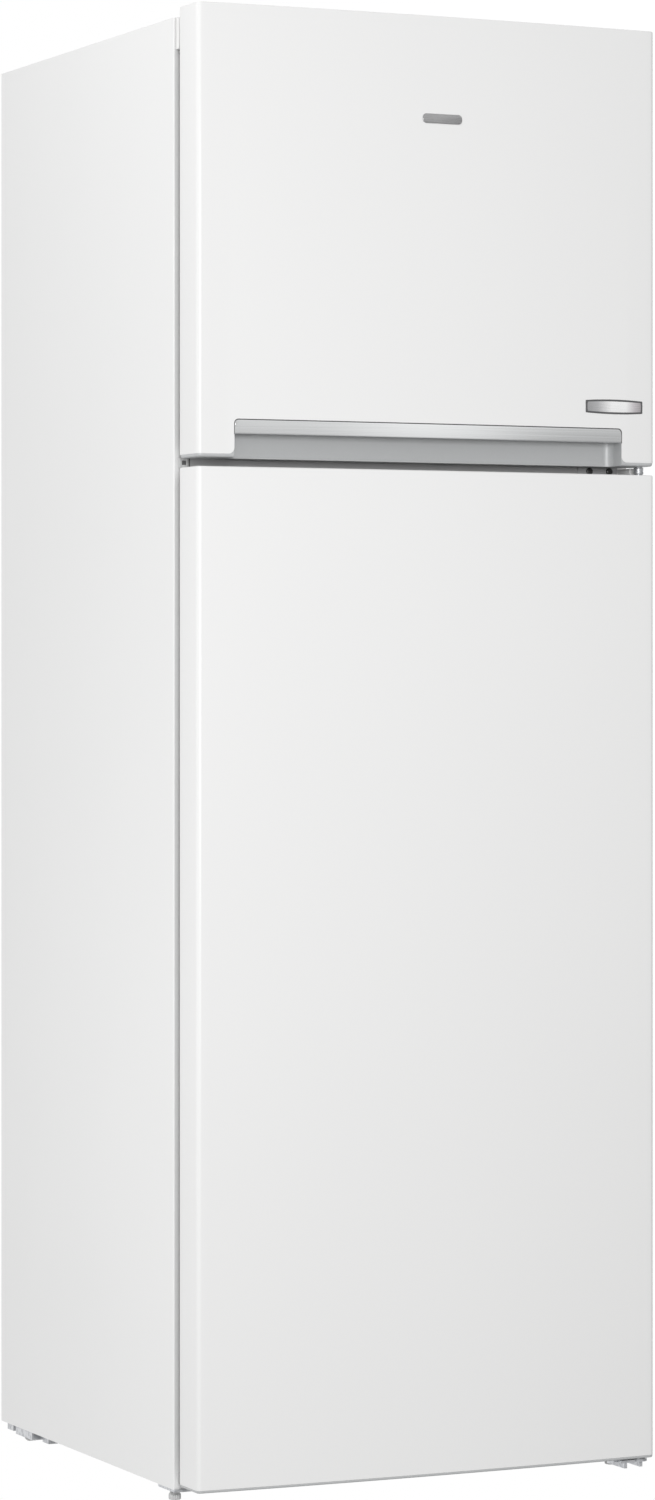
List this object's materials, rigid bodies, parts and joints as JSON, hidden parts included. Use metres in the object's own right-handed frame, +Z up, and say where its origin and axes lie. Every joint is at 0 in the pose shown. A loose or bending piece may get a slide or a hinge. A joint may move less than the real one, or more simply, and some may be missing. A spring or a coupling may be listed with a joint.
{
  "type": "top freezer refrigerator",
  "caption": "Free-standing two-door refrigerator with a small freezer door over a tall fridge door, recessed pocket handle under a brushed strip, shelves, drawer and rear compressor.",
  "frame": {"origin": "on the floor below the middle of the bounding box", "axes": "+X to the right seen from the front, -Y out of the doors, +Z up"},
  "size_m": [0.595, 0.6316, 1.725],
  "materials": {
    "door_white": "gloss",
    "cabinet_white": "satin",
    "trim_white": "gloss",
    "liner_white": "satin",
    "pocket_silver": "satin",
    "mullion_grey": "satin",
    "handle_metal": "satin",
    "label_chrome": "polished",
    "badge_grey": "gloss",
    "foam": "matte",
    "gasket_grey": "matte",
    "black_rubber": "matte",
    "black_plastic": "matte",
    "foot_grey": "matte",
    "zinc_steel": "satin",
    "black_steel": "satin",
    "shelf_glass": "polished",
    "clear_plastic": "gloss",
    "aluminium_fin": "satin",
    "tray_blue": "satin"
  },
  "bodies": {
    "cabinet": {"side_panel_left": "cabinet_white", "side_panel_right": "cabinet_white", "top_panel": "cabinet_white", "top_fascia": "trim_white", "back_panel": "zinc_steel", "base_panel": "zinc_steel", "front_base_rail": "zinc_steel", "mullion_strip": "mullion_grey", "hinge_hole_plugs": "trim_white", "freezer_liner": "liner_white", "fridge_liner": "liner_white", "cabinet_insulation": "foam", "top_hinge": "zinc_steel", "top_hinge_cover": "trim_white", "middle_hinge": "zinc_steel", "bottom_hinge": "zinc_steel", "hinge_screws": "zinc_steel", "compressor_plate": "zinc_steel", "compressor": "black_steel", "compressor_grommets": "black_rubber", "drip_tray": "black_plastic", "condenser_coil": "black_steel", "rear_cover": "black_plastic", "cord_gland": "black_plastic", "control_housing": "liner_white", "fridge_shelves": "shelf_glass", "shelf_trims": "trim_white", "crisper_cover": "clear_plastic", "fridge_air_duct": "liner_white", "freezer_shelf": "liner_white", "ice_maker_frame": "liner_white", "evaporator": "aluminium_fin", "evaporator_cover": "liner_white", "fan_motor": "black_plastic"},
    "left_foot": {"front_foot_left": "foot_grey"},
    "right_foot": {"front_foot_right": "foot_grey"},
    "left_roller": {"rear_roller_left": "foot_grey"},
    "right_roller": {"rear_roller_right": "foot_grey"},
    "knob": {"thermostat_knob": "trim_white"},
    "crisper": {"crisper_drawer": "clear_plastic"},
    "tray": {"ice_tray": "tray_blue"},
    "bucket": {"ice_bucket": "clear_plastic"},
    "fan": {"fan_blade": "black_plastic"},
    "freezer_door": {"freezer_door_skin": "door_white", "freezer_door_top_cap": "trim_white", "freezer_door_bottom_cap": "pocket_silver", "handle_strip": "handle_metal", "freezer_door_liner": "liner_white", "freezer_door_foam": "foam", "freezer_door_gasket": "gasket_grey", "freezer_door_racks": "clear_plastic", "badge_bar": "badge_grey", "label_plate": "label_chrome"},
    "fridge_door": {"fridge_door_skin": "door_white", "fridge_door_top_cap": "trim_white", "fridge_door_bottom_cap": "pocket_silver", "fridge_door_liner": "liner_white", "fridge_door_foam": "foam", "fridge_door_gasket": "gasket_grey", "fridge_door_racks": "clear_plastic"}
  },
  "joints": [
    {"name": "freezer_door_hinge", "type": "hinge", "parent": "cabinet", "child": "freezer_door", "pos_m": [0.287, -0.28775, 1.46], "axis": [0, 0, 1], "range_deg": [0, 105]},
    {"name": "fridge_door_hinge", "type": "hinge", "parent": "cabinet", "child": "fridge_door", "pos_m": [0.287, -0.28775, 0.6], "axis": [0, 0, 1], "range_deg": [0, 105]},
    {"name": "crisper_slide", "type": "slide", "parent": "cabinet", "child": "crisper", "axis": [0, -1, 0], "range_m": [0, 0.042]},
    {"name": "ice_bucket_slide", "type": "slide", "parent": "cabinet", "child": "bucket", "axis": [0, -1, 0], "range_m": [0, 0.038]},
    {"name": "ice_tray_twist", "type": "hinge", "parent": "cabinet", "child": "tray", "pos_m": [0.15, -0.015, 1.374], "axis": [0, 1, 0], "range_deg": [0, 120]},
    {"name": "thermostat_turn", "type": "hinge", "parent": "cabinet", "child": "knob", "pos_m": [0.06, -0.137, 1.147], "axis": [0, -1, 0], "range_deg": [0, 270]},
    {"name": "left_foot_turn", "type": "hinge", "parent": "cabinet", "child": "left_foot", "pos_m": [-0.287, -0.21775, 0.012], "axis": [0, 0, 1], "continuous": true},
    {"name": "right_foot_turn", "type": "hinge", "parent": "cabinet", "child": "right_foot", "pos_m": [0.287, -0.21775, 0.012], "axis": [0, 0, 1], "continuous": true},
    {"name": "left_roller_spin", "type": "hinge", "parent": "cabinet", "child": "left_roller", "pos_m": [-0.286, 0.24, 0.017], "axis": [1, 0, 0], "continuous": true},
    {"name": "right_roller_spin", "type": "hinge", "parent": "cabinet", "child": "right_roller", "pos_m": [0.286, 0.24, 0.017], "axis": [1, 0, 0], "continuous": true},
    {"name": "fan_spin", "type": "hinge", "parent": "cabinet", "child": "fan", "pos_m": [0, 0.205, 1.56], "axis": [0, 1, 0], "continuous": true}
  ]
}
